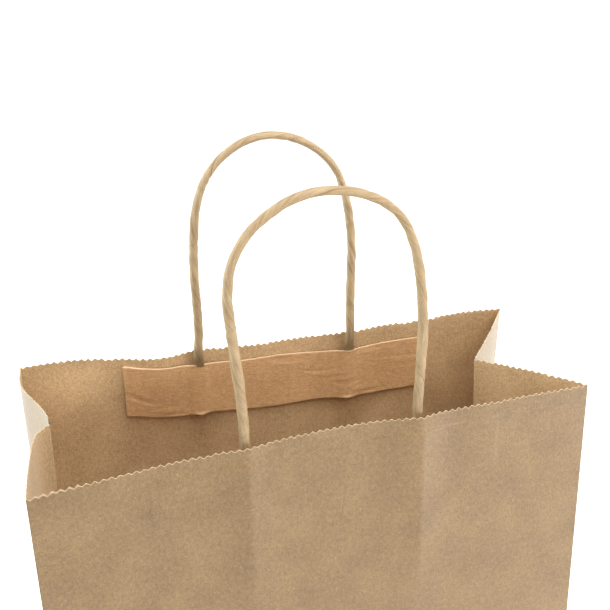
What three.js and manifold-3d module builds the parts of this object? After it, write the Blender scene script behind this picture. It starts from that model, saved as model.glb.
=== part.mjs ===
// A gift bag of brown kraft paper: one sheet folded and glued into a gusseted tube with a block bottom,
// a pinked top edge, and two handles of twisted paper cord glued to the walls between paper patches.
// Millimetres. The origin is the middle of the bag's underside, +X runs along the width, +Y towards the
// back wall and +Z up. The bag stands open, its left gusset nearly flat and its right one folded inwards.
import * as THREE from "three";
import { mergeVertices } from "three/addons/utils/BufferGeometryUtils.js";
import Module from "manifold-3d";

const wasm = await Module();
wasm.setup();

// The bag
const BAG_WIDTH = 240;
const BAG_DEPTH = 110;
const BAG_HEIGHT = 310;
const LEFT_GUSSET_LEAN = THREE.MathUtils.degToRad(11); // of a gusset half at the mouth, from the Y axis
const RIGHT_GUSSET_LEAN = THREE.MathUtils.degToRad(42.5);
const SHEET = 0.4; // a layer of paper
const GAP = 0.3; // between neighbouring layers
const TOOTH_PITCH = 3.1;
const TOOTH_DEPTH = 0.9;

// Room for the mouth to close: the gusset halves stop short of the centre crease they fold at
const LEFT_CREASE_ROOM = 4.2;
const RIGHT_CREASE_ROOM = 2.1;

// The block bottom, folded up from three layers
const BOTTOM_OVERLAP = 22; // of the front flap over the back flap
const BOTTOM_STEP = 2.5; // where the back flap climbs onto the front flap
const BOTTOM_MARGIN = 1.6; // from the bag's sides to the flaps' ends
const TUCK_WIDTH = 52;
const TUCK_CORNER = 14;

// The glued lap that closes the tube
const LAP_WIDTH = 16;
const LAP_INSET = 3;
const LAP_LIFT = 4; // above the floor, clear of the bottom flaps

// The handles
const CORD_DIAMETER = 4.5;
const PATCH_WIDTH = 150;
const PATCH_HEIGHT = 28;
const PATCH_DROP = 7; // from the bag's top edge to the patch
const HUMP_FLARE = 4.25; // how far past the cord the cover patch starts to climb over it
const CORD_TAIL_INSET = 1.5; // from the patch's lower edge to the end of the cord

// Routes of the handle loops, hand laid: along the wall from the bag's middle, and above its top edge
const FRONT_ROUTE = [
  [-37.5, 2.75], [-37.6, 12], [-38.1, 24], [-39.2, 37], [-40.4, 51], [-41.2, 65], [-38.8, 78],
  [-32.8, 87.6], [-24.4, 94.4], [-14.6, 99.1], [-3, 100.6], [9.5, 98.6], [20, 93.9], [28, 86.6],
  [33.3, 76], [36.6, 62], [38.3, 47], [38.7, 36], [38.4, 24], [38, 12], [37.5, 2.75],
];
const BACK_ROUTE = [
  [-37.5, 2.75], [-37, 12], [-37.1, 24], [-37.5, 38], [-37, 54], [-35.2, 70], [-31.2, 82.5],
  [-24.4, 92], [-15.3, 98.8], [-5, 102.2], [5, 102], [14.6, 98.8], [23.3, 92.9], [30.1, 84.8],
  [34.4, 73.5], [36.9, 60], [37.9, 46], [37.6, 30], [37.4, 16], [37.5, 2.75],
];

// Sizes that follow
const HALF_WIDTH = BAG_WIDTH / 2;
const HALF_DEPTH = BAG_DEPTH / 2; // and the width of a gusset half
const CORD_RADIUS = CORD_DIAMETER / 2;
const LAYER = SHEET + GAP;
const FRONT = -1; // the walls' sides of the XZ plane
const BACK = 1;
const LEFT = -1; // the gussets' sides of the YZ plane
const RIGHT = 1;
const lerp = THREE.MathUtils.lerp;

const bag = new THREE.Group();

// ---- Helpers ----

// A geometry of the vertices and triangles, turned so that its faces point out.
function closedGeometry(vertices, triangles) {
  let volume = 0;
  for (const [a, b, c] of triangles) {
    const [p, q, r] = [vertices[a], vertices[b], vertices[c]];
    volume += p.dot(q.clone().cross(r));
  }
  const index = triangles.flatMap(([a, b, c]) => (volume > 0 ? [a, b, c] : [a, c, b]));
  const position = new THREE.Float32BufferAttribute(vertices.flatMap((v) => v.toArray()), 3);
  return new THREE.BufferGeometry().setAttribute("position", position).setIndex(index);
}

// Triangles between two rows of points, whose counts may differ: each step goes up the row that lags.
function stitch(lower, upper) {
  const triangles = [];
  const share = (row, i) => (i + 1 < row.length ? (i + 1) / (row.length - 1) : Infinity);
  let i = 0;
  let j = 0;
  while (i + 1 < lower.length || j + 1 < upper.length) {
    if (share(lower, i) <= share(upper, j)) {
      triangles.push([lower[i], lower[i + 1], upper[j]]);
      i += 1;
    } else {
      triangles.push([lower[i], upper[j + 1], upper[j]]);
      j += 1;
    }
  }
  return triangles;
}

// A sheet of paper: rows of [u, v] from the bottom up, placed by near() for one face and far() for the other.
function sheet(rows, near, far) {
  const vertices = [];
  const numbered = (place) =>
    rows.map((row) => row.map(([u, v]) => vertices.push(place(u, v)) - 1));
  const nearRows = numbered(near);
  const farRows = numbered(far);
  const triangles = [];
  for (let k = 0; k + 1 < rows.length; k += 1) {
    triangles.push(...stitch(nearRows[k], nearRows[k + 1]));
    triangles.push(...stitch(farRows[k], farRows[k + 1]).map(([a, b, c]) => [a, c, b]));
  }
  const rim = (net) => [
    ...net[0],
    ...net.slice(1, -1).map((row) => row.at(-1)),
    ...net.at(-1).toReversed(),
    ...net.slice(1, -1).map((row) => row[0]).toReversed(),
  ];
  const nearRim = rim(nearRows);
  const farRim = rim(farRows);
  nearRim.forEach((a, k) => {
    const next = (k + 1) % nearRim.length;
    triangles.push([a, farRim[k], nearRim[next]], [nearRim[next], farRim[k], farRim[next]]);
  });
  return closedGeometry(vertices, triangles);
}

// Evenly spaced numbers from first to last.
function spaced(first, last, count) {
  return Array.from({ length: count }, (_, i) => lerp(first, last, i / (count - 1)));
}

// A row of [u, v] at one height, and the pinked row that ends a sheet at the bag's top edge.
function levelRow(from, to, height, count) {
  return spaced(from, to, count).map((u) => [u, height]);
}

function pinkedRow(from, to, height, length) {
  const teeth = Math.max(1, Math.round(length / TOOTH_PITCH));
  return spaced(from, to, 2 * teeth + 1).map((u, i) => [u, height - (i % 2 ? 0 : TOOTH_DEPTH)]);
}

function addMesh(name, geometry, material) {
  const mesh = new THREE.Mesh(geometry, material.clone());
  mesh.name = name;
  bag.add(mesh);
}

// Joins three.js geometries into one closed geometry.
function join(geometries) {
  const solids = geometries.map((geometry) => {
    const bare = new THREE.BufferGeometry().setAttribute("position", geometry.getAttribute("position"));
    if (geometry.index) bare.setIndex(geometry.index);
    const merged = mergeVertices(bare, 1e-4);
    return new wasm.Manifold(
      new wasm.Mesh({
        numProp: 3,
        vertProperties: new Float32Array(merged.attributes.position.array),
        triVerts: new Uint32Array(merged.index.array),
      }),
    );
  });
  const mesh = solids.reduce((sum, solid) => sum.add(solid)).getMesh();
  return new THREE.BufferGeometry()
    .setAttribute("position", new THREE.BufferAttribute(mesh.vertProperties, 3))
    .setIndex(new THREE.BufferAttribute(mesh.triVerts, 1));
}

// ---- Finishes ----

function paper(color, roughness) {
  return new THREE.MeshStandardMaterial({ color, roughness, metalness: 0 });
}
const KRAFT_OUTSIDE = paper(0xbe9b76, 0.86);
const KRAFT_INSIDE = paper(0xaa8a67, 0.9);
const KRAFT_PATCH = paper(0xb48c60, 0.82);
const KRAFT_CORD = paper(0xdcbe91, 0.8);

// ---- The shape of the open bag ----

// Half the bag's depth at the mouth over its left and right edges, and anywhere on the walls. The walls
// are straight from the rectangular bottom to the mouth.
const LEFT_MOUTH_HALF = HALF_DEPTH * Math.cos(LEFT_GUSSET_LEAN);
const RIGHT_MOUTH_HALF = HALF_DEPTH * Math.cos(RIGHT_GUSSET_LEAN);

function halfDepth(x, z) {
  const atMouth = lerp(LEFT_MOUTH_HALF, RIGHT_MOUTH_HALF, (x + HALF_WIDTH) / BAG_WIDTH);
  return lerp(HALF_DEPTH, atMouth, z / BAG_HEIGHT);
}

// A point at a depth inwards from a wall's outer face.
function onWall(wall, x, depth, z) {
  return new THREE.Vector3(x, wall * (halfDepth(x, z) - depth), z);
}

// A layer of paper on a wall, between two depths that may follow x.
function wallSheet(wall, rows, nearDepth, farDepth) {
  return sheet(
    rows,
    (x, z) => onWall(wall, x, nearDepth(x), z),
    (x, z) => onWall(wall, x, farDepth(x), z),
  );
}

// ---- Walls and the lap ----

const TOP_ROW = BAG_HEIGHT - 2 * TOOTH_DEPTH; // the last straight row under the teeth
const WALL_COLUMNS = 9;
const WALL_ROWS = 7;

const wallHeights = spaced(0, TOP_ROW, WALL_ROWS);
const wallRows = wallHeights.map((z) => levelRow(-HALF_WIDTH, HALF_WIDTH, z, WALL_COLUMNS));
wallRows.push(pinkedRow(-HALF_WIDTH, HALF_WIDTH, BAG_HEIGHT, BAG_WIDTH));

for (const [name, wall] of [["front_panel", FRONT], ["back_panel", BACK]]) {
  addMesh(name, wallSheet(wall, wallRows, () => 0, () => SHEET), KRAFT_OUTSIDE);
}

const lapLeft = -HALF_WIDTH + LAP_INSET;
const lapRight = lapLeft + LAP_WIDTH;
const lapRows = spaced(LAP_LIFT, TOP_ROW, WALL_ROWS).map((z) => levelRow(lapLeft, lapRight, z, 2));
lapRows.push(pinkedRow(lapLeft, lapRight, BAG_HEIGHT, LAP_WIDTH));
addMesh("side_seam_lap", wallSheet(FRONT, lapRows, () => LAYER, () => LAYER + SHEET), KRAFT_INSIDE);

// ---- Gussets ----

// The apex of the foot, the triangle between the diagonal creases that rise from the bottom corners: it
// leans inwards to where the centre crease starts.
function creaseInset(side, z) {
  return Math.sqrt(HALF_DEPTH ** 2 - halfDepth(side * HALF_WIDTH, z) ** 2);
}

function footApex(side) {
  let height = HALF_DEPTH;
  for (let pass = 0; pass < 8; pass += 1) {
    height = Math.sqrt(HALF_DEPTH ** 2 - creaseInset(side, height) ** 2);
  }
  return { height, inset: creaseInset(side, height) };
}

const HALF_START = 4; // height of a gusset half's lowest point, in the bottom corner
const DIAGONAL_GAP = 0.5; // between a gusset half and the foot, along the Y axis
const HALF_ROWS = 6;

// Half of a gusset, hung on a wall's side edge. A row at height z starts inside the wall and runs inwards
// at the lean of the gusset there; under the apex it ends at the foot's diagonal crease.
function gussetHalf(side, wall) {
  const room = side === LEFT ? LEFT_CREASE_ROOM : RIGHT_CREASE_ROOM;
  const apex = footApex(side);
  const footLean = Math.asin(apex.inset / HALF_DEPTH);
  const leanAt = (z) =>
    z <= apex.height ? footLean : Math.acos(halfDepth(side * HALF_WIDTH, z) / HALF_DEPTH);
  const endAt = (z) =>
    Math.max(room, HALF_DEPTH * (1 - z / apex.height) + DIAGONAL_GAP);
  // share runs from 0 at the wall to 1 at the crease, and layer is 0 on the inner face and 1 on the outer
  const place = (layer) => (share, z) => {
    const lean = leanAt(z);
    const start = halfDepth(side * HALF_WIDTH, z) - LAYER;
    const inner = lerp(start, endAt(z), share);
    const inset = SHEET + (start - inner) * Math.tan(lean);
    const x = HALF_WIDTH - inset + layer * SHEET * Math.cos(lean);
    return new THREE.Vector3(side * x, wall * (inner - layer * SHEET * Math.sin(lean)), z);
  };
  const heights = [HALF_START, ...spaced(apex.height, TOP_ROW, HALF_ROWS)];
  const rows = heights.map((z) => levelRow(0, 1, z, 3));
  const topLength = HALF_DEPTH - LAYER - room;
  rows.push(pinkedRow(0, 1, BAG_HEIGHT, topLength));
  return sheet(rows, place(1), place(0));
}

// The foot: a leaning triangle with its corners clipped, from the bottom edge to the apex.
function gussetFoot(side) {
  const apex = footApex(side);
  const slope = apex.inset / apex.height;
  const tip = apex.height - 2;
  const halfAt = (z) => HALF_DEPTH * (1 - z / apex.height) - LAYER;
  const inwards = new THREE.Vector3(-side, 0, -slope).normalize().multiplyScalar(SHEET);
  const outer = (share, z) =>
    new THREE.Vector3(side * (HALF_WIDTH - z * slope), share * halfAt(z), z + GAP);
  const rows = [levelRow(-1, 1, 0, 3), levelRow(-1, 1, tip / 2, 3), levelRow(-1, 1, tip, 2)];
  return sheet(rows, outer, (share, z) => outer(share, z).add(inwards.clone().setZ(0)));
}

const gussets = [
  ["left", LEFT],
  ["right", RIGHT],
];
for (const [name, side] of gussets) {
  addMesh(`${name}_gusset_front_half`, gussetHalf(side, FRONT), KRAFT_INSIDE);
  addMesh(`${name}_gusset_back_half`, gussetHalf(side, BACK), KRAFT_INSIDE);
  addMesh(`${name}_gusset_foot`, gussetFoot(side), KRAFT_INSIDE);
}

// ---- Block bottom ----

const flapHalfLength = HALF_WIDTH - SHEET - BOTTOM_MARGIN;
const flapEdge = HALF_DEPTH - LAYER; // the flaps' fold, just inside the walls
const overlapEdge = BOTTOM_OVERLAP / 2;

// A flap is a profile in the YZ plane, drawn along X.
function bottomFlap(profile) {
  const shape = new THREE.Shape(profile.map(([y, z]) => new THREE.Vector2(y, z)));
  const geometry = new THREE.ExtrudeGeometry(shape, { depth: 2 * flapHalfLength, bevelEnabled: false });
  geometry.translate(0, 0, -flapHalfLength);
  // the shape's x and y become Y and Z, and its depth becomes X
  const turned = new THREE.Matrix4().makeBasis(
    new THREE.Vector3(0, 1, 0),
    new THREE.Vector3(0, 0, 1),
    new THREE.Vector3(1, 0, 0),
  );
  return geometry.applyMatrix4(turned);
}

const frontProfile = [
  [-flapEdge, 0],
  [overlapEdge, 0],
  [overlapEdge, SHEET],
  [-flapEdge, SHEET],
];
addMesh("bottom_front_flap", bottomFlap(frontProfile), KRAFT_OUTSIDE);

// The back flap lies on the floor, then steps up onto the front flap.
const stepFoot = overlapEdge + GAP + BOTTOM_STEP;
const stepHead = overlapEdge + GAP;
const backProfile = [
  [flapEdge, 0],
  [flapEdge, SHEET],
  [stepFoot, SHEET],
  [stepHead, LAYER + SHEET],
  [-overlapEdge, LAYER + SHEET],
  [-overlapEdge, LAYER],
  [stepHead, LAYER],
  [stepFoot, 0],
];
addMesh("bottom_back_flap", bottomFlap(backProfile), KRAFT_OUTSIDE);

// The side tucks lie on top, each a strip with its inner corners cut off.
const tuckFloor = 2 * LAYER;
for (const [name, side] of gussets) {
  const outerEdge = HALF_WIDTH - SHEET - BOTTOM_MARGIN;
  const innerEdge = outerEdge - TUCK_WIDTH;
  const outline = new THREE.Shape([
    new THREE.Vector2(side * outerEdge, -flapEdge),
    new THREE.Vector2(side * outerEdge, flapEdge),
    new THREE.Vector2(side * (innerEdge + TUCK_CORNER), flapEdge),
    new THREE.Vector2(side * innerEdge, flapEdge - TUCK_CORNER),
    new THREE.Vector2(side * innerEdge, TUCK_CORNER - flapEdge),
    new THREE.Vector2(side * (innerEdge + TUCK_CORNER), -flapEdge),
  ]);
  const geometry = new THREE.ExtrudeGeometry(outline, { depth: SHEET, bevelEnabled: false });
  addMesh(`bottom_${name}_tuck`, geometry.translate(0, 0, tuckFloor), KRAFT_INSIDE);
}

// ---- Patches and cord ends ----

const patchTop = BAG_HEIGHT - PATCH_DROP;
const patchBottom = patchTop - PATCH_HEIGHT;
const backingDepth = LAYER; // outer face of the backing patch
const coverDepth = backingDepth + LAYER;
const cordDepth = coverDepth + CORD_RADIUS; // centre of the cord ends
const humpHeight = CORD_DIAMETER + GAP;
const humpHalfWidth = CORD_RADIUS + HUMP_FLARE;
const PATCH_COLUMNS = 7;
const HUMP_STEPS = 10;

// How far the cover patch stands off the backing patch: over each cord end a hump that falls as the square
// of 1 - t * t, where t is the distance from the cord as a share of the hump's half width.
function humpAt(x, legs) {
  const t = Math.min(1, ...legs.map((leg) => Math.abs(x - leg) / humpHalfWidth));
  return humpHeight * (1 - t * t) ** 2;
}

function patchRows(columns) {
  return [patchBottom, patchTop].map((z) => columns.map((x) => [x, z]));
}

// A cylinder of cord along a wall, from one height to another.
function cordEnd(wall, x, bottom, top) {
  const geometry = new THREE.CylinderGeometry(CORD_RADIUS, CORD_RADIUS, top - bottom, 10, 1);
  geometry.rotateX(Math.PI / 2).translate(x, cordDepth, (top + bottom) / 2);
  geometry.deleteAttribute("normal").deleteAttribute("uv");
  const merged = mergeVertices(geometry, 1e-4);
  const { position } = merged.attributes;
  const vertices = Array.from({ length: position.count }, (_, i) =>
    onWall(wall, position.getX(i), position.getY(i), position.getZ(i)),
  );
  const { array } = merged.index;
  const triangles = Array.from({ length: array.length / 3 }, (_, i) => array.slice(3 * i, 3 * i + 3));
  return closedGeometry(vertices, triangles.map((t) => [...t]));
}

// ---- Handle loops ----

const LOOP_STEPS = 30;
const CORD_SIDES = 10;

// The loop runs from pivot to pivot over the two cord ends, and each end is a ball on its pivot.
function handleLoop(wall, route) {
  const points = route.map(([x, rise]) => {
    const [first, last] = [route[0], route.at(-1)];
    const pivotHeight = BAG_HEIGHT + first[1];
    const share = (x - first[0]) / (last[0] - first[0]);
    const [start, end] = [first, last].map(([leg]) => onWall(wall, leg, cordDepth, pivotHeight));
    return new THREE.Vector3(x, lerp(start.y, end.y, share), BAG_HEIGHT + rise);
  });
  const section = new THREE.Shape(
    Array.from({ length: CORD_SIDES }, (_, i) => {
      const angle = (2 * Math.PI * i) / CORD_SIDES;
      return new THREE.Vector2(CORD_RADIUS * Math.cos(angle), CORD_RADIUS * Math.sin(angle));
    }),
  );
  const tube = new THREE.ExtrudeGeometry(section, {
    steps: LOOP_STEPS,
    extrudePath: new THREE.CatmullRomCurve3(points, false, "centripetal"),
  });
  const balls = [points[0], points.at(-1)].map((p) =>
    new THREE.SphereGeometry(CORD_RADIUS, CORD_SIDES, 8).translate(p.x, p.y, p.z),
  );
  return join([tube, ...balls]);
}

for (const [name, wall, route] of [
  ["front", FRONT, FRONT_ROUTE],
  ["back", BACK, BACK_ROUTE],
]) {
  const legs = [route[0][0], route.at(-1)[0]];
  const plainColumns = spaced(-PATCH_WIDTH / 2, PATCH_WIDTH / 2, PATCH_COLUMNS);
  const humpColumns = legs.flatMap((leg) =>
    spaced(leg - humpHalfWidth, leg + humpHalfWidth, HUMP_STEPS + 1),
  );
  const clearColumns = plainColumns.filter((x) =>
    legs.every((leg) => Math.abs(x - leg) > humpHalfWidth + SHEET),
  );
  const coverColumns = [...clearColumns, ...humpColumns].sort((a, b) => a - b);
  const backing = wallSheet(wall, patchRows(plainColumns), () => backingDepth, () => backingDepth + SHEET);
  addMesh(`${name}_backing_patch`, backing, KRAFT_PATCH);
  const cover = wallSheet(
    wall,
    patchRows(coverColumns),
    (x) => coverDepth + humpAt(x, legs),
    (x) => coverDepth + humpAt(x, legs) + SHEET,
  );
  addMesh(`${name}_cover_patch`, cover, KRAFT_PATCH);
  const tailEnd = patchBottom + CORD_TAIL_INSET;
  const ballClear = BAG_HEIGHT + route[0][1] - CORD_RADIUS - GAP;
  addMesh(`${name}_handle_left_end`, cordEnd(wall, legs[0], tailEnd, ballClear), KRAFT_CORD);
  addMesh(`${name}_handle_right_end`, cordEnd(wall, legs[1], tailEnd, ballClear), KRAFT_CORD);
  addMesh(`${name}_handle_loop`, handleLoop(wall, route), KRAFT_CORD);
}

export default bag;
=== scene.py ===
# %% [markdown]
# # A kraft paper gift bag with twisted handles
# The bag is one glued paper tube: two wide walls, two gussets folded in along a centre crease, and a block
# bottom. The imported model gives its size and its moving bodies. This script builds the paper itself: every
# sheet is a thin closed surface worked out from a formula, so that it can bow, dent and end in pinked
# teeth, and each handle is one twisted cord.

# %% Load the fixed frame
import math

import bmesh
import bpy
import numpy as np
from mathutils import Matrix, Vector


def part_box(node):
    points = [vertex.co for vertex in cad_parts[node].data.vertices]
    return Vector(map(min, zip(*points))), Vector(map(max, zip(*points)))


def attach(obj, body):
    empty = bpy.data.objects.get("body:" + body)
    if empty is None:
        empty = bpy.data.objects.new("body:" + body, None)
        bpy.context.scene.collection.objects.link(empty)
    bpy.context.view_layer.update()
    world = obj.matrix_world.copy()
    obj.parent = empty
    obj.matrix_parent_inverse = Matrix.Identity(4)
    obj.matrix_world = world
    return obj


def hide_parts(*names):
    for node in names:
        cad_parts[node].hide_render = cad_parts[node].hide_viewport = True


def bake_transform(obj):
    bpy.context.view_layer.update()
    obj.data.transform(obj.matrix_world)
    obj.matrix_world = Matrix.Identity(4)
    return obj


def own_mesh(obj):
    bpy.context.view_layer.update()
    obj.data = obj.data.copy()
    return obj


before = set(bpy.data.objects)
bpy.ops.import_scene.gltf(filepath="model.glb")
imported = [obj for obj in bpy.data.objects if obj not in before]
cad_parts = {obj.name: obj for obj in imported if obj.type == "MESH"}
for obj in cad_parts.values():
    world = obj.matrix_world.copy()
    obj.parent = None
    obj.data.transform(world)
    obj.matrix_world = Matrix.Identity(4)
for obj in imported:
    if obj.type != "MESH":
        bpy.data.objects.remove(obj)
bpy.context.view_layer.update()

# %% [markdown]
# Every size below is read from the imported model. The walls lean towards each other at the mouth, more on
# the right than on the left, so one straight blend says how far each wall stands from the middle of the
# bag.

# %% Read the bag's sizes from the frame
FRONT, BACK = -1, 1
LEFT, RIGHT = -1, 1
WALL_NAME = {FRONT: "front", BACK: "back"}
SIDE_NAME = {LEFT: "left", RIGHT: "right"}

panel_low, panel_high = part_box("front_panel")
HALF_WIDTH = panel_high.x
HALF_DEPTH = -panel_low.y
MOUTH = panel_high.z


def cad_points(node):
    """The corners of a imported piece, as rows of x, y and z."""
    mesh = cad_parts[node].data
    points = np.empty(len(mesh.vertices) * 3, np.float32)
    mesh.vertices.foreach_get("co", points)
    return points.reshape(-1, 3)


rim = cad_points("front_panel")
rim = rim[rim[:, 2] > MOUTH - 0.002]
LEFT_MOUTH = float(-rim[rim[:, 0] < 0.0001 - HALF_WIDTH, 1].min())
RIGHT_MOUTH = float(-rim[rim[:, 0] > HALF_WIDTH - 0.0001, 1].min())
print(f"half width {HALF_WIDTH:.4f}, height {MOUTH:.4f}, half depth {HALF_DEPTH:.4f},")
print(f"at the mouth {LEFT_MOUTH:.4f} on the left and {RIGHT_MOUTH:.4f} on the right")


def half_depth(x, z):
    """From the middle of the bag to a wall's outer face: it changes in a straight line from the floor to
    the mouth, where it changes in a straight line from the left gusset to the right one."""
    mouth = LEFT_MOUTH + (RIGHT_MOUTH - LEFT_MOUTH) * (x + HALF_WIDTH) / (2 * HALF_WIDTH)
    return HALF_DEPTH + (mouth - HALF_DEPTH) * z / MOUTH


# %% [markdown]
# The camera stands a little to the left of the bag, in front of it and above it, and looks down into the
# mouth. A camera looks along its own -Z, so its three axes are built from two angles and a small roll.

# %% Place the camera
CAMERA_PLACE = (-0.1025, -0.3450, 0.5010)
CAMERA_YAW = math.radians(16.85)
CAMERA_PITCH = math.radians(23.03)
CAMERA_ROLL = math.radians(-0.68)
CAMERA_LENS = 53.69

forward = Vector((
    math.sin(CAMERA_YAW) * math.cos(CAMERA_PITCH),
    math.cos(CAMERA_YAW) * math.cos(CAMERA_PITCH),
    -math.sin(CAMERA_PITCH),
))
level = Vector((math.cos(CAMERA_YAW), -math.sin(CAMERA_YAW), 0))
upward = level.cross(forward)
across = level * math.cos(CAMERA_ROLL) + upward * math.sin(CAMERA_ROLL)
upward = upward * math.cos(CAMERA_ROLL) - level * math.sin(CAMERA_ROLL)

camera = bpy.data.objects.new("camera", bpy.data.cameras.new("camera"))
camera.data.lens = CAMERA_LENS
camera.data.clip_start = 0.01
camera.data.clip_end = 100
camera.matrix_world = Matrix((across, upward, -forward)).transposed().to_4x4()
camera.location = CAMERA_PLACE
bpy.context.scene.collection.objects.link(camera)
bpy.context.scene.camera = camera
print("camera looks along", [round(value, 3) for value in forward])

# %% [markdown]
# Paper that has been folded and handled is never flat. Near the mouth, where nothing holds it, each wall
# has a few soft dents and bulges. They could be simulated, but a short sum of smooth hills gives the same
# shape each time and lets the patches, the lap and the cords follow the wall exactly. A bend is where it
# is across the wall, how wide it is, how far it pushes into the bag and how far down it reaches.

# %% Bend the walls
FRONT_BENDS = (
    (-0.040, 0.072, 0.0056, 0.120),
    (0.018, 0.022, 0.0012, 0.070),
    (0.052, 0.014, 0.0016, 0.060),
    (0.085, 0.026, 0.0012, 0.080),
)
BACK_BENDS = (
    (-0.098, 0.020, -0.0046, 0.014),
    (-0.094, 0.020, 0.0015, 0.045),
    (-0.056, 0.016, 0.0058, 0.045),
    (-0.020, 0.026, 0.0028, 0.080),
    (0.039, 0.014, 0.0030, 0.060),
    (0.070, 0.018, 0.0012, 0.080),
    (0.104, 0.016, -0.0020, 0.050),
)
BENDS = {FRONT: FRONT_BENDS, BACK: BACK_BENDS}


def smooth(low, high, value):
    """0 below low, 1 above high, and an S-shaped step between them."""
    share = np.clip((value - low) / (high - low), 0, 1)
    return share * share * (3 - 2 * share)


def dent(wall, x, z):
    """How far a wall stands in from its flat place: bell curves across and down the wall, with a slow ripple,
    all fading out at the upright edges and at the floor."""
    total = 0.0004 * np.sin(47 * x + 23 * z + wall) * np.sin(31 * z - 12 * x)
    for middle, width, push, reach in BENDS[wall]:
        total = total + push * np.exp(-(((x - middle) / width) ** 2) - ((MOUTH - z) / reach) ** 2)
    return total * (1 - np.abs(x / HALF_WIDTH) ** 10) * smooth(0, 0.05, z)


def rim_rise(wall, x):
    """How far a wall's cut edge stands over the nominal mouth: the bag was cut a little askew, highest at the
    back right."""
    if wall == FRONT:
        return 0.0003 + 0.0011 * smooth(0.06, 0, np.abs(x))
    right = 0.0012 * smooth(0.03, 0.06, x) + 0.0020 * smooth(0.02, 0.12, x)
    return 0.0008 + right + 0.0006 * smooth(-0.07, -0.12, x)


def on_wall(wall, x, z, depth):
    """The point of a wall at x and z, that far in from its outer face, as rows of x, y and z."""
    y = wall * (half_depth(x, z) - depth - dent(wall, x, z))
    return np.stack(np.broadcast_arrays(x, y, z), axis=-1)


mouth_line = np.linspace(-HALF_WIDTH, HALF_WIDTH, 97)
print("deepest dent:", {WALL_NAME[wall]: float(dent(wall, mouth_line, MOUTH).max()) for wall in BENDS})

# %% [markdown]
# Each handle is one paper cord, glued between two patches, that rises from the mouth, bends over in a
# round arch and goes back down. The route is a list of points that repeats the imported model's, each the
# distance along the wall and the height above the mouth. A smooth curve is laid through them.

# %% Lay the routes of the handles
CORD_DIAMETER = 0.0045
LEG = 0.0375
# Glued layers of paper lie this far apart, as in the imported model.
LAYER = 0.0007
PATCH_DEPTH = 2 * LAYER
PATCH_FOOT, PATCH_HEAD = (corner.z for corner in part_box("front_cover_patch"))
PATCH_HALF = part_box("front_cover_patch")[1].x
GLUED_SHIFT = {FRONT: 0.0017, BACK: -0.0008}
GLUED_TILT = {FRONT: math.radians(0.4), BACK: math.radians(1.35)}
GLUED_BOW = {FRONT: 0.0004, BACK: 0.0024}
CORD_PEEP = 0.0013
FRONT_ROUTE = (
    (-0.0375, 0.00275), (-0.0376, 0.012), (-0.0381, 0.024), (-0.0392, 0.037), (-0.0404, 0.051),
    (-0.0412, 0.065), (-0.0388, 0.078), (-0.0328, 0.0876), (-0.0244, 0.0944), (-0.0146, 0.0991),
    (-0.003, 0.1006), (0.0095, 0.0986), (0.020, 0.0939), (0.028, 0.0866), (0.0333, 0.076),
    (0.0366, 0.062), (0.0383, 0.047), (0.0387, 0.036), (0.0384, 0.024), (0.038, 0.012), (0.0375, 0.00275),
)
BACK_ROUTE = (
    (-0.0375, 0.00275), (-0.037, 0.012), (-0.0371, 0.024), (-0.0375, 0.038), (-0.037, 0.054),
    (-0.0352, 0.070), (-0.0312, 0.0825), (-0.0244, 0.092), (-0.0153, 0.0988), (-0.005, 0.1022),
    (0.005, 0.102), (0.0146, 0.0988), (0.0233, 0.0929), (0.0301, 0.0848), (0.0344, 0.0735), (0.0369, 0.060),
    (0.0379, 0.046), (0.0376, 0.030), (0.0374, 0.016), (0.0375, 0.00275),
)
ROUTES = {FRONT: FRONT_ROUTE, BACK: BACK_ROUTE}


def smooth_line(points, spacing):
    """A curve through points, as points that far apart. Each span is a cubic whose slopes at its ends come
    from the neighbouring points, weighted by the square root of their distance, which keeps it free of
    loops."""
    gaps = np.sqrt(np.linalg.norm(np.diff(points, axis=0), axis=1))[:, None]
    slopes = np.diff(points, axis=0) / gaps
    inner = (slopes[:-1] * gaps[1:] + slopes[1:] * gaps[:-1]) / (gaps[:-1] + gaps[1:])
    ends = np.concatenate([slopes[:1], inner, slopes[-1:]])
    t = np.linspace(0, 1, 60, endpoint=False)[None, :, None]
    start, stop = points[:-1, None], points[1:, None]
    leave, arrive = (ends[:-1] * gaps)[:, None], (ends[1:] * gaps)[:, None]
    line = (
        start * (2 * t**3 - 3 * t**2 + 1) + leave * (t**3 - 2 * t**2 + t)
        + stop * (3 * t**2 - 2 * t**3) + arrive * (t**3 - t**2)
    )
    line = np.concatenate([line.reshape(-1, 3), points[-1:]])
    run = np.concatenate([[0], np.cumsum(np.linalg.norm(np.diff(line, axis=0), axis=1))])
    steps = np.linspace(0, run[-1], int(run[-1] / spacing) + 1)
    return np.stack([np.interp(steps, run, line[:, axis]) for axis in range(3)], axis=-1)


def cord_flatness(z):
    """The cord's thickness as a share of its diameter: its ends were pressed flat when they were glued."""
    return 0.24 + 0.76 * smooth(MOUTH - 0.009, MOUTH + 0.001, z)


def cord_depth(z):
    """From the wall's outer face to the middle of the cord, which lies on the backing patch."""
    return PATCH_DEPTH + CORD_DIAMETER / 2 * cord_flatness(z)


def patch_lift(wall, x):
    """How much higher than planned a patch was glued: a small tilt, and a bow that lifts both its ends."""
    return (LEG - x) * math.tan(GLUED_TILT[wall]) + GLUED_BOW[wall] * ((x / PATCH_HALF) ** 2 - 0.33)


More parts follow.
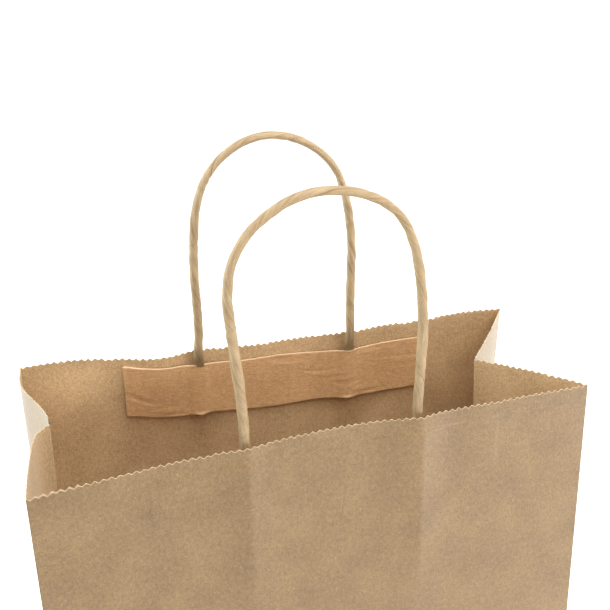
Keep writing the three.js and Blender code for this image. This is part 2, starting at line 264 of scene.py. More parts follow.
def handle_path(wall):
    """The middle of a handle's cord: up the wall from the patch's foot, round the arch and down again. The
    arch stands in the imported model's plane, and its feet lean over to where the dented wall has taken them,
    and sideways to where they were glued."""
    route = np.array(ROUTES[wall])
    height = MOUTH + route[0, 1]
    pivots = on_wall(wall, np.array([-LEG, LEG]), np.full(2, height), cord_depth(height))
    moved = wall * dent(wall, np.array([-LEG, LEG]), MOUTH)
    share = (route[:, 0] + LEG) / (2 * LEG)
    flat_y = np.interp(share, [0, 1], pivots[:, 1] + moved)
    lean = np.where(share < 0.5, moved[0], moved[1]) * np.exp(-route[:, 1] / 0.04)
    shift = GLUED_SHIFT[wall] * np.exp(-route[:, 1] / 0.03)
    arch = np.stack([route[:, 0] + shift, flat_y - lean, MOUTH + route[:, 1]], axis=-1)
    legs = []
    for leg in (-LEG, LEG):
        height = np.linspace(PATCH_FOOT + patch_lift(wall, leg) - CORD_PEEP, MOUTH - 0.004, 6)
        legs.append(on_wall(wall, np.full(6, leg + GLUED_SHIFT[wall]), height, cord_depth(height)))
    return smooth_line(np.concatenate([legs[0], arch, legs[1][::-1]]), 0.0005)


HANDLE_PATHS = {wall: handle_path(wall) for wall in (FRONT, BACK)}
for wall, path in HANDLE_PATHS.items():
    run = np.linalg.norm(np.diff(path, axis=0), axis=1).sum()
    print(f"{WALL_NAME[wall]} handle's cord: {run:.4f} m on {len(path)} points")

# %% [markdown]
# All the pieces are grids of four-sided faces: a sheet is a grid with a second one behind it and a strip
# round its border, and a cord is a grid rolled into a tube. One function puts such arrays into a mesh,
# merges what meets at a tip, and stores a flat map in metres, so that the paper's grain follows the sheet.

# %% Put grids of points into a mesh
def grid_faces(rows, columns, first=0):
    """The four corner numbers of every face of a grid whose points are numbered row by row."""
    corner = first + np.arange(rows * columns).reshape(rows, columns)
    faces = np.stack([corner[:-1, :-1], corner[:-1, 1:], corner[1:, 1:], corner[1:, :-1]], axis=-1)
    return faces.reshape(-1, 4)


def add_mesh(name, points, faces, flat, marks):
    """A mesh object from points, faces of four, each point's place on the flat map and named point values."""
    mesh = bpy.data.meshes.new(name)
    mesh.vertices.add(len(points))
    mesh.vertices.foreach_set("co", points.astype(np.float32).ravel())
    mesh.loops.add(faces.size)
    mesh.loops.foreach_set("vertex_index", faces.astype(np.int32).ravel())
    mesh.polygons.add(len(faces))
    mesh.polygons.foreach_set("loop_start", np.arange(0, faces.size, 4, dtype=np.int32))
    mesh.update(calc_edges=True)
    flat_map = mesh.uv_layers.new(name="flat")
    flat_map.data.foreach_set("uv", flat[faces.ravel()].astype(np.float32).ravel())
    for mark, values in marks.items():
        attribute = mesh.attributes.new(mark, "FLOAT", "POINT")
        attribute.data.foreach_set("value", values.astype(np.float32).ravel())
    work = bmesh.new()
    work.from_mesh(mesh)
    bmesh.ops.remove_doubles(work, verts=work.verts, dist=1e-7)
    work.to_mesh(mesh)
    work.free()
    mesh.shade_smooth()
    piece = bpy.data.objects.new(name, mesh)
    bpy.context.scene.collection.objects.link(piece)
    return piece


PAPER = 0.0003


def add_sheet(name, outer, inward, flat, cut_and_highlight):
    """A paper sheet: the grid of its outer face, the same grid moved inward by its thickness, and a border.
    The last argument is 1 on a cut edge, where the paper is painted paler with a painted highlight, and 0
    away from it. The faces are turned so that the outer one looks away from inward."""
    rows, columns = outer.shape[:2]
    normal = np.cross(np.gradient(outer, axis=1), np.gradient(outer, axis=0)).mean(axis=(0, 1))
    if normal @ np.array(inward) > 0:
        outer, flat, cut_and_highlight = outer[:, ::-1], flat[:, ::-1], cut_and_highlight[:, ::-1]
    inner = outer + np.array(inward)
    count = rows * columns
    number = np.arange(count).reshape(rows, columns)
    border = np.concatenate([number[0], number[1:, -1], number[-1, -2::-1], number[-2::-1, 0]])
    edge = np.stack([border[1:], border[:-1], border[:-1] + count, border[1:] + count], axis=-1)
    faces = np.concatenate([grid_faces(rows, columns), grid_faces(rows, columns, count)[:, ::-1], edge])
    points = np.concatenate([outer.reshape(-1, 3), inner.reshape(-1, 3)])
    flat_points = np.tile(flat.reshape(-1, 2), (2, 1))
    sheet = add_mesh(name, points, faces, flat_points, {"cut_and_highlight": np.tile(cut_and_highlight.ravel(), 2)})
    face_count = (rows - 1) * (columns - 1)
    sides = np.zeros(len(sheet.data.polygons), np.int32)
    sides[face_count:2 * face_count] = 1
    sheet.data.polygons.foreach_set("material_index", sides)
    return sheet


# %% [markdown]
# The cord is a paper strip twisted on itself. Seen close, it has a few soft strands that run round it in a
# long, uneven left-hand screw, a sharper seam where the strip's edge lies, small nicks across it, and a
# thickness that comes and goes. The section is a circle with these ripples, turned a little further at
# each step along the path.

# %% Twist the handles' cords
TWIST_LENGTH = 0.034
CORD_SIDES = 40
ARCH_THIN = 0.20


def slow_noise(run, step, seed):
    """Random values from -1 to 1, a step apart, with a smooth line through them."""
    values = np.random.default_rng(seed).uniform(-1, 1, int(run.max() / step) + 3)
    place = run / step
    low = np.floor(place).astype(int)
    share = smooth(0, 1, place - low)
    return values[low] * (1 - share) + values[low + 1] * share


def add_cord(name, path, seed):
    """A tube round path: at each ring the section turns by the twist, and its radius is a little under half
    the cord's diameter, plus strands and slow changes, less the seams and nicks. Over the arch the bend has
    pressed it thinner. The end rings shrink to a point."""
    along = np.gradient(path, axis=0)
    along /= np.linalg.norm(along, axis=1)[:, None]
    out = np.cross(along, (0, 1, 0))
    out /= np.linalg.norm(out, axis=1)[:, None]
    side = np.cross(along, out)
    run = np.concatenate([[0], np.cumsum(np.linalg.norm(np.diff(path, axis=0), axis=1))])[:, None]
    around = np.linspace(0, 2 * np.pi, CORD_SIDES + 1)[None, :]
    wander = 1.5 * slow_noise(run, 0.016, seed)
    phase = around + 2 * np.pi * run / TWIST_LENGTH + wander
    seam = np.exp(-((np.sin((phase - 0.6) / 2) / 0.09) ** 2)) * (0.6 + 0.4 * slow_noise(run, 0.009, seed + 4))
    fold = np.exp(-((np.sin((phase - 2.9) / 2) / 0.07) ** 2)) * (0.5 + 0.5 * slow_noise(run, 0.011, seed + 1))
    nick = smooth(0.45, 1, slow_noise(run + 0.0012 * np.cos(around), 0.0021, seed + 5))
    nick = nick * smooth(0, 1, np.cos(around + 9 * slow_noise(run, 0.02, seed + 6)))
    strands = 0.026 * np.cos(3 * phase) + 0.024 * np.cos(2 * phase + 5 * wander)
    swell = 0.030 * slow_noise(run, 0.008, seed + 2) + 0.022 * slow_noise(run, 0.003, seed + 3)
    radius = CORD_DIAMETER / 2 * (0.935 + strands + swell - 0.13 * seam - 0.10 * fold - 0.06 * nick)
    radius[0] = radius[-1] = 0
    thin = cord_flatness(path[:, 2:])
    arch = 1 - ARCH_THIN * smooth(MOUTH + 0.055, MOUTH + 0.090, path[:, 2:])
    wide = radius * np.cos(around) * (1 + 0.5 * (1 - thin)) * arch
    deep = radius * np.sin(around) * thin
    points = path[:, None] + wide[..., None] * out[:, None] + deep[..., None] * side[:, None]
    flat = np.stack(np.broadcast_arrays(phase * CORD_DIAMETER / 2, run), axis=-1)
    rows, columns = radius.shape
    # The groove mark says where the cord is painted darker: painted shade in its seams, folds and nicks.
    marks = {"groove_shade": np.clip(seam + 0.7 * fold + 0.35 * nick, 0, 1)}
    faces = grid_faces(rows, columns)[:, ::-1]
    return add_mesh(name, points.reshape(-1, 3), faces, flat.reshape(-1, 2), marks)


handles = {}
for wall, path in HANDLE_PATHS.items():
    name = WALL_NAME[wall]
    handle = add_cord(f"{name}_handle_cord", path, 11 + wall)
    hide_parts(f"{name}_handle_left_end", f"{name}_handle_loop", f"{name}_handle_right_end")
    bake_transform(handle)
    handles[wall] = handle
    print(handle.name, len(handle.data.polygons), "faces")

# %% [markdown]
# The mouth was cut with a toothed knife. Each tooth is a soft zigzag, a little deeper or shallower than
# the next, with a chip here and there. The wall is a grid of rows from the floor to the mouth, close
# together near the teeth, and the cord ends that are glued inside push two narrow ridges out of it.

# %% Cut the pinked edge
TOOTH_PITCH = 0.0031
TOOTH_DEPTH = 0.0011
TOOTH_COLUMNS = 6
TOOTH_ZONE = 0.004
EDGE_ROWS = np.array([0.0028, 0.0018, 0.0011, 0.0006, 0.00025, 0])
FIRST_TOOTH = {FRONT: 20, BACK: 110}
# The walls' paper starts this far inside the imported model's faces.
WALL_SKIN = 0.0001
teeth = np.random.default_rng(5)
TOOTH_SIZE = teeth.uniform(0.7, 1.15, 400)
TOOTH_CHIP = teeth.uniform(0, 0.00022, 400) + (teeth.random(400) > 0.93) * 0.0005


def pinking(distance, first):
    """How far the edge lies under its highest crests: a rounded zigzag whose valleys differ in depth, plus a
    chipped crest now and then. first picks where in the run of random teeth this edge starts."""
    place = distance / TOOTH_PITCH
    tooth = np.floor(place).astype(int) + first
    zigzag = np.arcsin(0.93 * np.sin(2 * np.pi * (place - 0.25))) / np.arcsin(0.93)
    chip = np.interp(place, np.arange(100), TOOTH_CHIP[first:first + 100])
    return TOOTH_DEPTH * TOOTH_SIZE[tooth] * (0.5 + 0.5 * zigzag) + chip


def tooth_share(under):
    """How much of the teeth a point takes up: all on the cut edge, none below the zone of the teeth."""
    return np.clip(1 - under / TOOTH_ZONE, 0, 1)


def paper_rows(low, high, spacing):
    """Heights from low to high: even rows, then ever closer ones under the cut edge."""
    body = np.linspace(low, high - TOOTH_ZONE, max(2, int((high - TOOTH_ZONE - low) / spacing)))
    return np.concatenate([body, high - EDGE_ROWS])


def near_cut(distance):
    """1 on a cut edge, falling to 0 over a third of a millimetre."""
    return np.clip(1 - distance / 0.0003, 0, 1)


def cord_ridge(wall, x, z):
    """How far a glued cord end pushes the wall out: a low tent over each leg, whose sides fall away as a
    decaying curve and whose top is a little rounded, fading out well under the patch."""
    leg = np.sqrt((np.abs(x - GLUED_SHIFT[wall]) - LEG) ** 2 + 0.0009**2)
    return 0.0030 * np.exp(-leg / 0.012) * smooth(PATCH_FOOT - 0.085, PATCH_FOOT - 0.010, z)


def embossing(wall, x, z):
    """The patch behind the front wall shows through as a faint step round its border, higher by the legs."""
    near_leg = np.exp(-(((np.abs(x - GLUED_SHIFT[wall]) - LEG) / 0.011) ** 2))
    inside = smooth(PATCH_FOOT - 0.001, PATCH_FOOT + 0.001, z)
    inside = inside - smooth(PATCH_HEAD - 0.0006, PATCH_HEAD + 0.0006, z)
    inside = inside * smooth(PATCH_HALF + 0.0015, PATCH_HALF - 0.0005, np.abs(x))
    return (0.00025 + 0.0005 * near_leg) * inside if wall == FRONT else 0 * inside


wall_columns = np.linspace(-HALF_WIDTH, HALF_WIDTH, int(2 * HALF_WIDTH / TOOTH_PITCH * TOOTH_COLUMNS) + 1)
wall_rows = paper_rows(0, MOUTH, 0.0045)
wall_rows = np.unique(np.concatenate([wall_rows, PATCH_HEAD + np.linspace(-0.0012, 0.0012, 7)]))
panels = {}
for wall in (FRONT, BACK):
    x, z = np.meshgrid(wall_columns, wall_rows)
    under = MOUTH - z
    z = z + rim_rise(wall, x) * (z / MOUTH) ** 8
    z = z - pinking(x + HALF_WIDTH, FIRST_TOOTH[wall]) * tooth_share(under)
    outer = on_wall(wall, x, z, WALL_SKIN - cord_ridge(wall, x, z) - embossing(wall, x, z))
    name = WALL_NAME[wall]
    panel = add_sheet(
        f"{name}_wall_paper", outer, (0, -wall * PAPER, 0), np.stack([x, z], axis=-1), near_cut(under)
    )
    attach(panel, f"{name}_wall")
    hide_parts(f"{name}_panel")
    panels[wall] = panel
    print(panel.name, len(panel.data.polygons), "faces")

# %% [markdown]
# One strip of the front wall is double, where the sheet's two ends were glued to close the tube. It lies
# on the inside at the left corner and ends in the same pinked teeth.

# %% Glue the seam lap
lap_low, lap_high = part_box("side_seam_lap")
lap_columns = np.linspace(lap_low.x, lap_high.x, 33)
x, z = np.meshgrid(lap_columns, paper_rows(lap_low.z, MOUTH, 0.0045))
under = MOUTH - z
z = z + rim_rise(FRONT, x) * (z / MOUTH) ** 8
z = z - pinking(x + HALF_WIDTH, FIRST_TOOTH[FRONT]) * tooth_share(under)
lap_edge = np.minimum(np.abs(x - lap_high.x), under)
lap = add_sheet(
    "seam_lap_paper", on_wall(FRONT, x, z, LAYER), (0, PAPER, 0),
    np.stack([z, x], axis=-1), near_cut(lap_edge),
)
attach(lap, "front_wall")
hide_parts("side_seam_lap")
print(lap.name, len(lap.data.polygons), "faces")

# %% [markdown]
# A gusset is as deep as the bag when it is flat. Folded in, each half is the long side of a right triangle
# whose short side is the half depth at that height, so the other side says how far the centre crease
# stands in. Just above the floor the gusset turns into a foot: a triangle between two diagonal creases,
# whose slanting height is again half the bag's depth.

# %% Fold the gussets
MOUTH_DEPTH = {LEFT: LEFT_MOUTH, RIGHT: RIGHT_MOUTH}
FOOT_HEIGHT = {side: HALF_DEPTH / (1 + (HALF_DEPTH - MOUTH_DEPTH[side]) / MOUTH) for side in (LEFT, RIGHT)}
CREASE_DRIFT = {LEFT: 0.0025, RIGHT: -0.0046}
CREASE_RISE = {LEFT: 0.0006, RIGHT: -0.0004}
RIM_SAG = {(LEFT, FRONT): 0.0030, (LEFT, BACK): 0, (RIGHT, FRONT): 0, (RIGHT, BACK): 0}
RIM_CROWN = {(LEFT, FRONT): 0, (LEFT, BACK): 0, (RIGHT, FRONT): 0.0012, (RIGHT, BACK): 0}
GUSSET_TOOTH = {(LEFT, FRONT): 200, (LEFT, BACK): 225, (RIGHT, FRONT): 250, (RIGHT, BACK): 275}
WALL_PAPER = WALL_SKIN + PAPER


def crease_inset(side, z):
    """How far the centre crease stands in from the bag's side, the same below the foot's tip as at it."""
    height = np.maximum(z, FOOT_HEIGHT[side])
    return np.sqrt(HALF_DEPTH**2 - half_depth(side * HALF_WIDTH, height) ** 2)


def gusset_bow(side, wall, share):
    """How far a half curves out of its flat place at the mouth, from the wall, share 0, to the crease, 1."""
    if side == LEFT and wall == FRONT:
        return 0.0056 * share**0.8 * (1 - share**6)
    if side == LEFT:
        return 0.0036 * np.sin(np.pi * share**0.7) ** 2
    return (-0.0014 if wall == FRONT else 0.0008) * np.sin(np.pi * share)


def on_gusset(side, wall, share, z):
    """The outer face of a gusset half: from the wall's paper to the crease in a straight line, plus the bow,
    which dies away towards the floor as the square of the height."""
    start = half_depth(side * HALF_WIDTH, z) - WALL_PAPER
    lift = smooth(0.15, 1, z / MOUTH)
    inset = crease_inset(side, z) * share - gusset_bow(side, wall, share) * lift
    y = wall * (start * (1 - share) + 0.00003) + CREASE_DRIFT[side] * lift * share
    return np.stack(np.broadcast_arrays(side * (HALF_WIDTH - inset), y, z), axis=-1)


half_columns = np.linspace(0, 1, int(HALF_DEPTH / TOOTH_PITCH * TOOTH_COLUMNS) + 1)
half_rows = np.concatenate([np.linspace(0, 1 - TOOTH_ZONE / MOUTH, 66), 1 - EDGE_ROWS / MOUTH])
gusset_halves = {}
for side in (LEFT, RIGHT):
    for wall in (FRONT, BACK):
        share, height = np.meshgrid(half_columns, half_rows)
        under = (MOUTH - FOOT_HEIGHT[side] * share) * (1 - height)
        z = MOUTH - under
        corner_rises = [rim_rise(corner, side * HALF_WIDTH) for corner in (FRONT, BACK)]
        middle_rise = sum(corner_rises) / 2 + CREASE_RISE[side]
        wall_rise = rim_rise(wall, side * HALF_WIDTH)
        uneven = RIM_CROWN[side, wall] * np.sin(np.pi * share) - RIM_SAG[side, wall] * smooth(0.7, 1, share)
        z = z + (wall_rise + (middle_rise - wall_rise) * share + uneven) * (z / MOUTH) ** 8
        z = z - pinking(share * HALF_DEPTH, GUSSET_TOOTH[side, wall]) * tooth_share(under)
        lean = math.asin(crease_inset(side, MOUTH * 0.6) / HALF_DEPTH)
        name = f"{SIDE_NAME[side]}_gusset_{WALL_NAME[wall]}_half"
        half = add_sheet(
            f"{name}_paper", on_gusset(side, wall, share, z), (-side * PAPER / math.cos(lean), 0, 0),
            np.stack([share * HALF_DEPTH, z], axis=-1), near_cut(under),
        )
        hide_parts(name)
        side * HALF_WIDTH
        side * HALF_WIDTH
        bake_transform(half)
        gusset_halves[side, wall] = half
        print(half.name, len(half.data.polygons), "faces")

# %% [markdown]
# When the mouth closes, the real foot leans in with the creases. Here each foot is only built in place, a
# triangle between the two diagonal creases that rides on the bag's root.

# %% Fold the gussets' feet
FOOT_LEAN = {LEFT: math.radians(23.6), RIGHT: math.radians(28.7)}
FOOT_LIFT = 0.0002
feet = {}
for side in (LEFT, RIGHT):
    span, rise = np.meshgrid(np.linspace(-1, 1, 45), np.linspace(0, 1, 24))
    start = half_depth(side * HALF_WIDTH, FOOT_HEIGHT[side] * rise) - WALL_PAPER
    z = FOOT_LIFT + (FOOT_HEIGHT[side] - FOOT_LIFT) * rise
    x = side * (HALF_WIDTH - crease_inset(side, 0.0) * rise)
    outer = np.stack(np.broadcast_arrays(x, span * start * (1 - rise), z), axis=-1)
    name = f"{SIDE_NAME[side]}_gusset_foot"
    foot = add_sheet(
        f"{name}_paper", outer, (-side * PAPER, 0, 0),
        np.stack([span * HALF_DEPTH * (1 - rise), z], axis=-1), 0 * span,
    )
    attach(foot, "root")
    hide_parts(name)
    -side * math.cos(FOOT_LEAN[side])
    side * HALF_WIDTH
    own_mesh(foot)
    feet[side] = foot
    print(foot.name, len(foot.data.polygons), "faces")

# %% [markdown]
# The block bottom is folded from the tube's lower end. The front flap lies on the floor, the back flap is
# glued half over it, and a tuck from each gusset lies on top, with its inner corners cut off.

# %% Fold the bottom
BOTTOM_END = HALF_WIDTH - 0.0008
OVERLAP_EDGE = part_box("bottom_front_flap")[1].y
TUCK_CORNER = 0.014
LEAN_ROOM = 0.00015
bottom = []


def add_bottom(name, x, y, z, cut_and_highlight):
    """A sheet of the bottom from its underside's grid. It rides on the bag's root."""
    outer = np.stack(np.broadcast_arrays(x, y, z), axis=-1)
    flat = np.stack(np.broadcast_arrays(x, y), axis=-1)
    piece = add_sheet(f"{name}_paper", outer, (0, 0, PAPER), flat, cut_and_highlight)
    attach(piece, "root")
    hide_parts(name)
    bottom.append(piece)
    print(piece.name, len(piece.data.polygons), "faces")


# The walls lean in over the flaps' folds, so the flaps stop just short of them.
flap_fold = HALF_DEPTH - WALL_PAPER - LEAN_ROOM
x, y = np.meshgrid(np.linspace(-BOTTOM_END, BOTTOM_END, 81), np.linspace(-flap_fold, OVERLAP_EDGE, 25))
add_bottom("bottom_front_flap", x, y, 0 * x, near_cut(OVERLAP_EDGE - y))
x, y = np.meshgrid(np.linspace(-BOTTOM_END, BOTTOM_END, 81), np.linspace(-OVERLAP_EDGE, flap_fold, 40))
step = LAYER * smooth(OVERLAP_EDGE + 0.003, OVERLAP_EDGE, y)
add_bottom("bottom_back_flap", x, y, step, near_cut(y + OVERLAP_EDGE))
for side in (LEFT, RIGHT):
    name = f"bottom_{SIDE_NAME[side]}_tuck"
    tuck_low, tuck_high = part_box(name)
    inner_edge = min(abs(tuck_low.x), abs(tuck_high.x))
    reach, span = np.meshgrid(np.linspace(inner_edge, BOTTOM_END, 40), np.linspace(-1, 1, 41))
    corner = np.maximum(0, inner_edge + TUCK_CORNER - reach)
    add_bottom(
        name, side * reach, span * (flap_fold - corner), tuck_low.z + 0 * span,
        near_cut(reach - inner_edge),
    )

# %% [markdown]
# Each cord is glued between a backing patch on the wall and a cover patch over it. The cover is a strip of
# browner paper, wetted by the glue: it rises in a hump over each cord end, where its lower edge flares out
# in a small lip that is painted pale, a painted highlight, and it dries in short shallow wrinkles.

# %% Glue the patches
HUMP_HALF_WIDTH = 0.0062
HUMP_ROOM = 0.0002
LIP_WIDTH = 0.0028
BACKING_MARGIN = 0.0008
PATCH_MIDDLE = (PATCH_FOOT + PATCH_HEAD) / 2
COVER_SLIP = {FRONT: 0.0, BACK: 0.0010}


def hump(wall, x, z):
    """How far the cover patch rises over the cord ends: one bell for each, as high as the flattened cord."""
    t = np.clip((np.abs(x - GLUED_SHIFT[wall]) - LEG) / HUMP_HALF_WIDTH, -1, 1)
    return (CORD_DIAMETER * cord_flatness(z) + HUMP_ROOM) * (1 - t * t) ** 1.5


def wrinkles(x, z, seed):
    """Shallow wrinkles along the patch: slow noise across its height, shifted by slow noise along it, which
    comes and goes every centimetre or so."""
    drift = 0.0022 * slow_noise(x + PATCH_HALF, 0.012, seed)
    ridge = slow_noise(z - PATCH_FOOT + 0.01 + drift, 0.0016, seed + 1)
    fade = np.clip(slow_noise(x + PATCH_HALF + 2 * z, 0.009, seed + 2), 0, 1)
    return 0.00024 * ridge * fade


patches = []
for wall in (FRONT, BACK):
    for layer, depth, margin in (("backing", LAYER, BACKING_MARGIN), ("cover", PATCH_DEPTH, 0)):
        name = f"{WALL_NAME[wall]}_{layer}_patch"
        half_length = PATCH_HALF - margin
        x, z = np.meshgrid(
            np.linspace(-half_length, half_length, 301),
            np.linspace(PATCH_FOOT + margin, PATCH_HEAD - margin, 41),
        )
        seed = 40 + 10 * wall + (3 if layer == "cover" else 0)
        wave = 0.0005 * slow_noise(x + PATCH_HALF, 0.025, seed)
        wave = wave + 0.00015 * slow_noise(x + PATCH_HALF, 0.003, seed + 5)
        z_cut = z + wave * (z - PATCH_MIDDLE) / (PATCH_HEAD - PATCH_MIDDLE) + patch_lift(wall, x)
        x_cut = x + COVER_SLIP[wall]
        edge = np.minimum(half_length - np.abs(x), np.minimum(z - z.min(), z.max() - z))
        rise, cut_and_highlight = 0 * x, near_cut(edge)
        if layer == "cover":
            lip = np.exp(-(((np.abs(x_cut - GLUED_SHIFT[wall]) - LEG) / LIP_WIDTH) ** 2))
            lip = lip * smooth(PATCH_FOOT + 0.0018, PATCH_FOOT, z)
            rise = hump(wall, x_cut, z) + wrinkles(x, z, seed) + 0.0002 + 0.0006 * lip
            # The lip takes the pale cut-edge colour: a painted highlight where the flared lip catches the
            # light.
            cut_and_highlight = np.maximum(cut_and_highlight, lip)
        patch = add_sheet(
            f"{name}_paper", on_wall(wall, x_cut, z_cut, depth + rise), (0, -wall * PAPER, 0),
            np.stack([x, z], axis=-1), cut_and_highlight,
        )
        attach(patch, f"{WALL_NAME[wall]}_wall")
        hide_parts(name)
        patches.append(patch)
        print(patch.name, len(patch.data.polygons), "faces")

# %% [markdown]
# Shader maths reads best as plain expressions. A Wire wraps one socket, and adding or multiplying wires
# adds Math nodes. Every other node comes from Finish.node, which sets the node up before it links its
# inputs.

# %% Write shader maths as expressions
class Wire:
    """One output socket of a material, on which + - and * work, with a wire or a number on either side."""

    def __init__(self, finish, socket):
        self.finish = finish
        self.socket = socket

    def maths(self, operation, first, second):
        return self.finish.node("ShaderNodeMath", {"operation": operation}, {0: first, 1: second})

    def __add__(self, other):
        return self.maths("ADD", self, other)

    __radd__ = __add__

    def __sub__(self, other):
        return self.maths("SUBTRACT", self, other)

    def __rsub__(self, other):
        return self.maths("SUBTRACT", other, self)

    def __mul__(self, other):
        return self.maths("MULTIPLY", self, other)

    __rmul__ = __mul__


class Finish:
    """One material and its nodes."""

    def __init__(self, name):
        self.material = bpy.data.materials.new(name)
        self.material.use_nodes = True
        self.tree = self.material.node_tree
        self.surface = self.tree.nodes["Principled BSDF"]

    def node(self, kind, settings, inputs, output=0):
        """Adds a node, sets it up, feeds its inputs with values or wires, and returns one output."""
        node = self.tree.nodes.new(kind)
        for key, value in settings.items():
            setattr(node, key, value)
        for key, value in inputs.items():
            self.feed(node.inputs[key], value)
        return Wire(self, node.outputs[output])

    def feed(self, socket, value):
        """Links a wire to a socket, or sets the socket's own value."""
        if isinstance(value, Wire):
            self.tree.links.new(value.socket, socket)
        else:
            socket.default_value = value

    def noise(self, place, stretch, detail=2.0, rough=0.5):
        """Cloudy values around 0.5. stretch is how many clouds there are in a metre along each axis."""
        at = self.node("ShaderNodeVectorMath", {"operation": "MULTIPLY"}, {0: place, 1: (*stretch, 1)})
        inputs = {"Vector": at, "Scale": 1, "Detail": detail, "Roughness": rough}
        return self.node("ShaderNodeTexNoise", {}, inputs)

    def step(self, value, low, high):
        """0 below low, 1 above high, with a smooth rise between."""
        settings = {"interpolation_type": "SMOOTHSTEP"}
        return self.node("ShaderNodeMapRange", settings, {"Value": value, "From Min": low, "From Max": high})

    def mix(self, share, first, second):
        """A colour between two others."""
        first, second = ((*c, 1) if isinstance(c, tuple) else c for c in (first, second))
        return self.node("ShaderNodeMix", {"data_type": "RGBA"}, {0: share, 6: first, 7: second}, output=2)

    def paint(self, colour, roughness, height, depth, strength):
        """Feeds the surface: its colour, its roughness, and a bump as deep as depth at full height."""
        self.feed(self.surface.inputs["Base Color"], colour)
        self.feed(self.surface.inputs["Roughness"], roughness)
        bump = self.node("ShaderNodeBump", {}, {"Height": height, "Distance": depth, "Strength": strength})
        self.feed(self.surface.inputs["Normal"], bump)


# %% [markdown]
# Kraft paper is unbleached wood pulp. Its colour is uneven at several sizes: clouds a centimetre or two
# wide and patches of two millimetres where the pulp lay thicker, streaks along the way it ran through the
# machine, a fine grain, and single fibres, some pale and a few dark. A cut edge is painted paler and fuzzy:
# partly the paler fibres of the cut, partly a painted highlight along the edge. All of it is noise on the
# sheet's flat map, so it stays on the paper.

# %% Make the kraft paper
# The colour of a cut edge: partly the paper's paler fibres, partly a painted highlight along the edge.
CUT_EDGE_AND_HIGHLIGHT = (0.62, 0.46, 0.29)
SHEEN_TINT = (1.0, 0.95, 0.86, 1)


def kraft(name, dark, light, fibre, roughness, run=(900, 480), streakiness=0.9):
    """Brown paper between a dark and a light colour. run says how tightly its streaks lie each way."""
    finish = Finish(name)
    place = finish.node("ShaderNodeUVMap", {"uv_map": "flat"}, {})
    clouds = finish.noise(place, (62, 50), 3)
    patchy = finish.noise(place, (520, 430), 3)
    streaks = finish.noise(place, run, 3, 0.6)
    grain = finish.noise(place, (1350, 1250), 3, 0.7)
    tone = 0.5 + 0.8 * (clouds - 0.5) + 0.8 * (patchy - 0.5)
    tone = tone + streakiness * (streaks - 0.5) + 2.3 * (grain - 0.5)
    colour = finish.mix(tone, dark, light)
    pale = finish.step(finish.noise(place, (1100, 560), 2), 0.66, 0.74)
    colour = finish.mix(pale * 0.5, colour, fibre)
    shives = finish.step(finish.noise(place, (560, 760), 2), 0.70, 0.75)
    colour = finish.mix(shives * 0.6, colour, tuple(0.35 * value for value in dark))
    # Cut edges and the cover patches' lips are painted paler here: partly paler fibres, partly a painted
    # highlight.
    cut_and_highlight = finish.node("ShaderNodeAttribute", {"attribute_name": "cut_and_highlight"}, {}, output=2)
    colour = finish.mix(cut_and_highlight * (0.15 + 0.9 * patchy), colour, CUT_EDGE_AND_HIGHLIGHT)
    height = 0.45 * streaks + 0.30 * grain + 0.6 * patchy
    finish.paint(colour, roughness + 0.25 * (patchy - 0.5), height, 0.0003, 0.7)
    finish.surface.inputs["IOR"].default_value = 1.5
    finish.surface.inputs["Sheen Weight"].default_value = 0.15
    finish.surface.inputs["Sheen Roughness"].default_value = 0.45
    finish.surface.inputs["Sheen Tint"].default_value = SHEEN_TINT
    return finish.material


# The outside and inside papers are one kraft in a shaded and a lit copy. The inside is painted about three
# times lighter than the outside: painted light that evens out how bright the bag looks inside and out.
KRAFT_OUTSIDE_SHADED_COPY = kraft(
    "kraft_outside", (0.118, 0.066, 0.022), (0.242, 0.147, 0.058), (0.365, 0.245, 0.122), 0.46
)
KRAFT_INSIDE_LIT_COPY = kraft("kraft_inside", (0.37, 0.238, 0.114), (0.66, 0.445, 0.240), (0.78, 0.59, 0.36), 0.66)
PATCH_PAPER = kraft(
    "patch_paper", (0.46, 0.255, 0.110), (0.69, 0.420, 0.205), (0.77, 0.53, 0.30), 0.6,
    run=(300, 1150), streakiness=1.5,
)
print("papers:", KRAFT_OUTSIDE_SHADED_COPY.name, KRAFT_INSIDE_LIT_COPY.name, PATCH_PAPER.name)

# %% [markdown]
# The cord's paper is paler and cleaner. Its flat map is turned with the twist, so streaks that run along
# the map run round the cord in the same screw as its strands, and its seams, folds and nicks are painted
# darker as painted shade.

# %% Make the cord's paper
def cord_paper():
    """Pale twisted paper, streaked along its strands, with painted shade in its seams, folds and nicks."""
    finish = Finish("handle_cord")
    place = finish.node("ShaderNodeUVMap", {"uv_map": "flat"}, {})
    strands = finish.noise(place, (900, 60), 3, 0.6)
    clouds = finish.noise(place, (160, 110), 3)
    grain = finish.noise(place, (2600, 1400), 2)
    groove_shade = finish.node("ShaderNodeAttribute", {"attribute_name": "groove_shade"}, {}, output=2)
    tone = 0.5 + 1.6 * (strands - 0.5) + 0.9 * (clouds - 0.5) + 0.9 * (grain - 0.5)
    colour = finish.mix(tone, (0.215, 0.141, 0.068), (0.400, 0.288, 0.158))
    # Painted shade: the cord's seams, folds and nicks are painted darker.
    colour = finish.mix(groove_shade * 0.75, colour, (0.17, 0.10, 0.042))
    finish.paint(colour, 0.6 + 0.2 * (clouds - 0.5), 0.8 * strands + 0.3 * grain, 0.0004, 0.8)
    finish.surface.inputs["IOR"].default_value = 1.45
    return finish.material


HANDLE_CORD = cord_paper()
for handle in handles.values():
    handle.data.materials.append(HANDLE_CORD)
for piece in [*panels.values(), lap, *gusset_halves.values(), *feet.values(), *bottom]:
    piece.data.materials.append(KRAFT_OUTSIDE_SHADED_COPY)
    piece.data.materials.append(KRAFT_INSIDE_LIT_COPY)
for patch in patches:
    patch.data.materials.append(PATCH_PAPER)
    patch.data.materials.append(PATCH_PAPER)
print("cord's paper:", HANDLE_CORD.name)

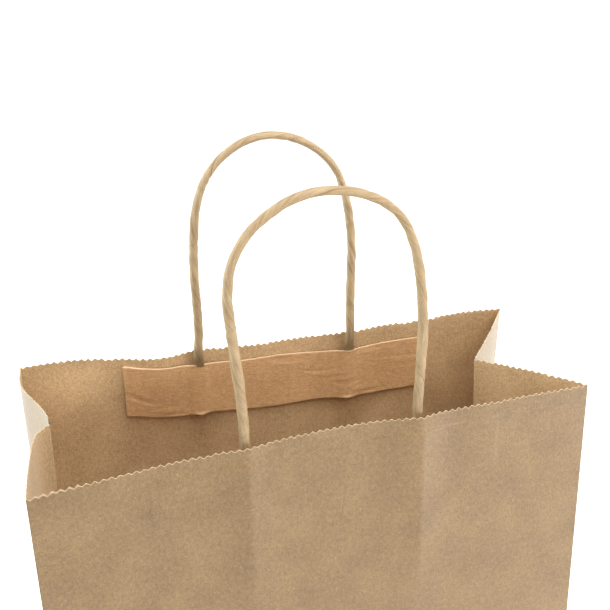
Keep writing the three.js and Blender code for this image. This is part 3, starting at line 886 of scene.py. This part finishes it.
# %% [markdown]
# The papers are sheets, cut flat before they were folded and glued. The script prints how many there are.

print("sheets:", len(panels) + len(gusset_halves) + len(feet) + len(patches) + len(bottom) + 1)

# %% [markdown]
# The bag stands on a white floor in a white room, which looks white but lights the bag a little less than
# that. Soft boxes at both sides graze the gussets and turn their outer faces almost white, and one
# overhead looks down into the mouth. A soft key light comes from above the front, and a closer, smaller
# box at the front right draws the ridges over the glued cords.

# %% Light the bag
world = bpy.data.worlds.new("white_room")
world.use_nodes = True
WORLD_GLOW = 0.9
room = world.node_tree.nodes["Background"]
room.inputs["Color"].default_value = (1, 1, 1, 1)
light_path = world.node_tree.nodes.new("ShaderNodeLightPath")
glow = world.node_tree.nodes.new("ShaderNodeMapRange")
glow.inputs["To Min"].default_value = WORLD_GLOW
glow.inputs["To Max"].default_value = 1
world.node_tree.links.new(light_path.outputs["Is Camera Ray"], glow.inputs["Value"])
world.node_tree.links.new(glow.outputs["Result"], room.inputs["Strength"])
bpy.context.scene.world = world
bpy.context.scene.view_settings.view_transform = "Standard"


def add_light(name, place, target, size, power, colour):
    """A square soft box that faces a point."""
    lamp = bpy.data.lights.new(name, "AREA")
    lamp.size = size
    lamp.energy = power
    lamp.color = colour
    lamp_object = bpy.data.objects.new(name, lamp)
    lamp_object.location = place
    lamp_object.rotation_euler = (Vector(target) - Vector(place)).to_track_quat("-Z", "Y").to_euler()
    bpy.context.scene.collection.objects.link(lamp_object)


BAG_MIDDLE = (0, 0, 0.25)
add_light("left_box", (-1.1, 0.5, 0.4), BAG_MIDDLE, 0.8, 18, (0.88, 1.0, 0.99))
add_light("right_box", (1.1, 0.5, 0.4), BAG_MIDDLE, 0.8, 8, (0.97, 1.0, 0.88))
add_light("ridge_box", (0.60, -0.60, 0.28), BAG_MIDDLE, 0.22, 3.6, (1.0, 1.0, 1.0))
add_light("top_box", (0.1, -0.15, 1.5), (0, 0.05, 0.3), 0.6, 15, (1.0, 1.0, 1.0))

key = bpy.data.objects.new("key_light", bpy.data.lights.new("key_light", "SUN"))
key.data.energy = 1.0
key.data.angle = math.radians(35)
key.rotation_euler = Vector((0.18, -0.62, 0.85)).to_track_quat("Z", "Y").to_euler()
bpy.context.scene.collection.objects.link(key)

FLOOR_REACH = 60
FLOOR_DROP = 0.0004
floor_signs = ((-1, -1), (1, -1), (1, 1), (-1, 1))
floor_corners = [(x * FLOOR_REACH, y * FLOOR_REACH, -FLOOR_DROP) for x, y in floor_signs]
floor = bpy.data.objects.new("floor", bpy.data.meshes.new("floor"))
floor.data.from_pydata(floor_corners, [], [(0, 1, 2, 3)])
bpy.context.scene.collection.objects.link(floor)
white = Finish("white_floor")
cloud = white.noise(white.node("ShaderNodeTexCoord", {}, {}, output=3), (3, 3), 2)
white.feed(white.surface.inputs["Base Color"], white.mix(cloud, (0.94, 0.94, 0.94), (0.96, 0.96, 0.96)))
white.surface.inputs["Roughness"].default_value = 0.9
floor.data.materials.append(white.material)
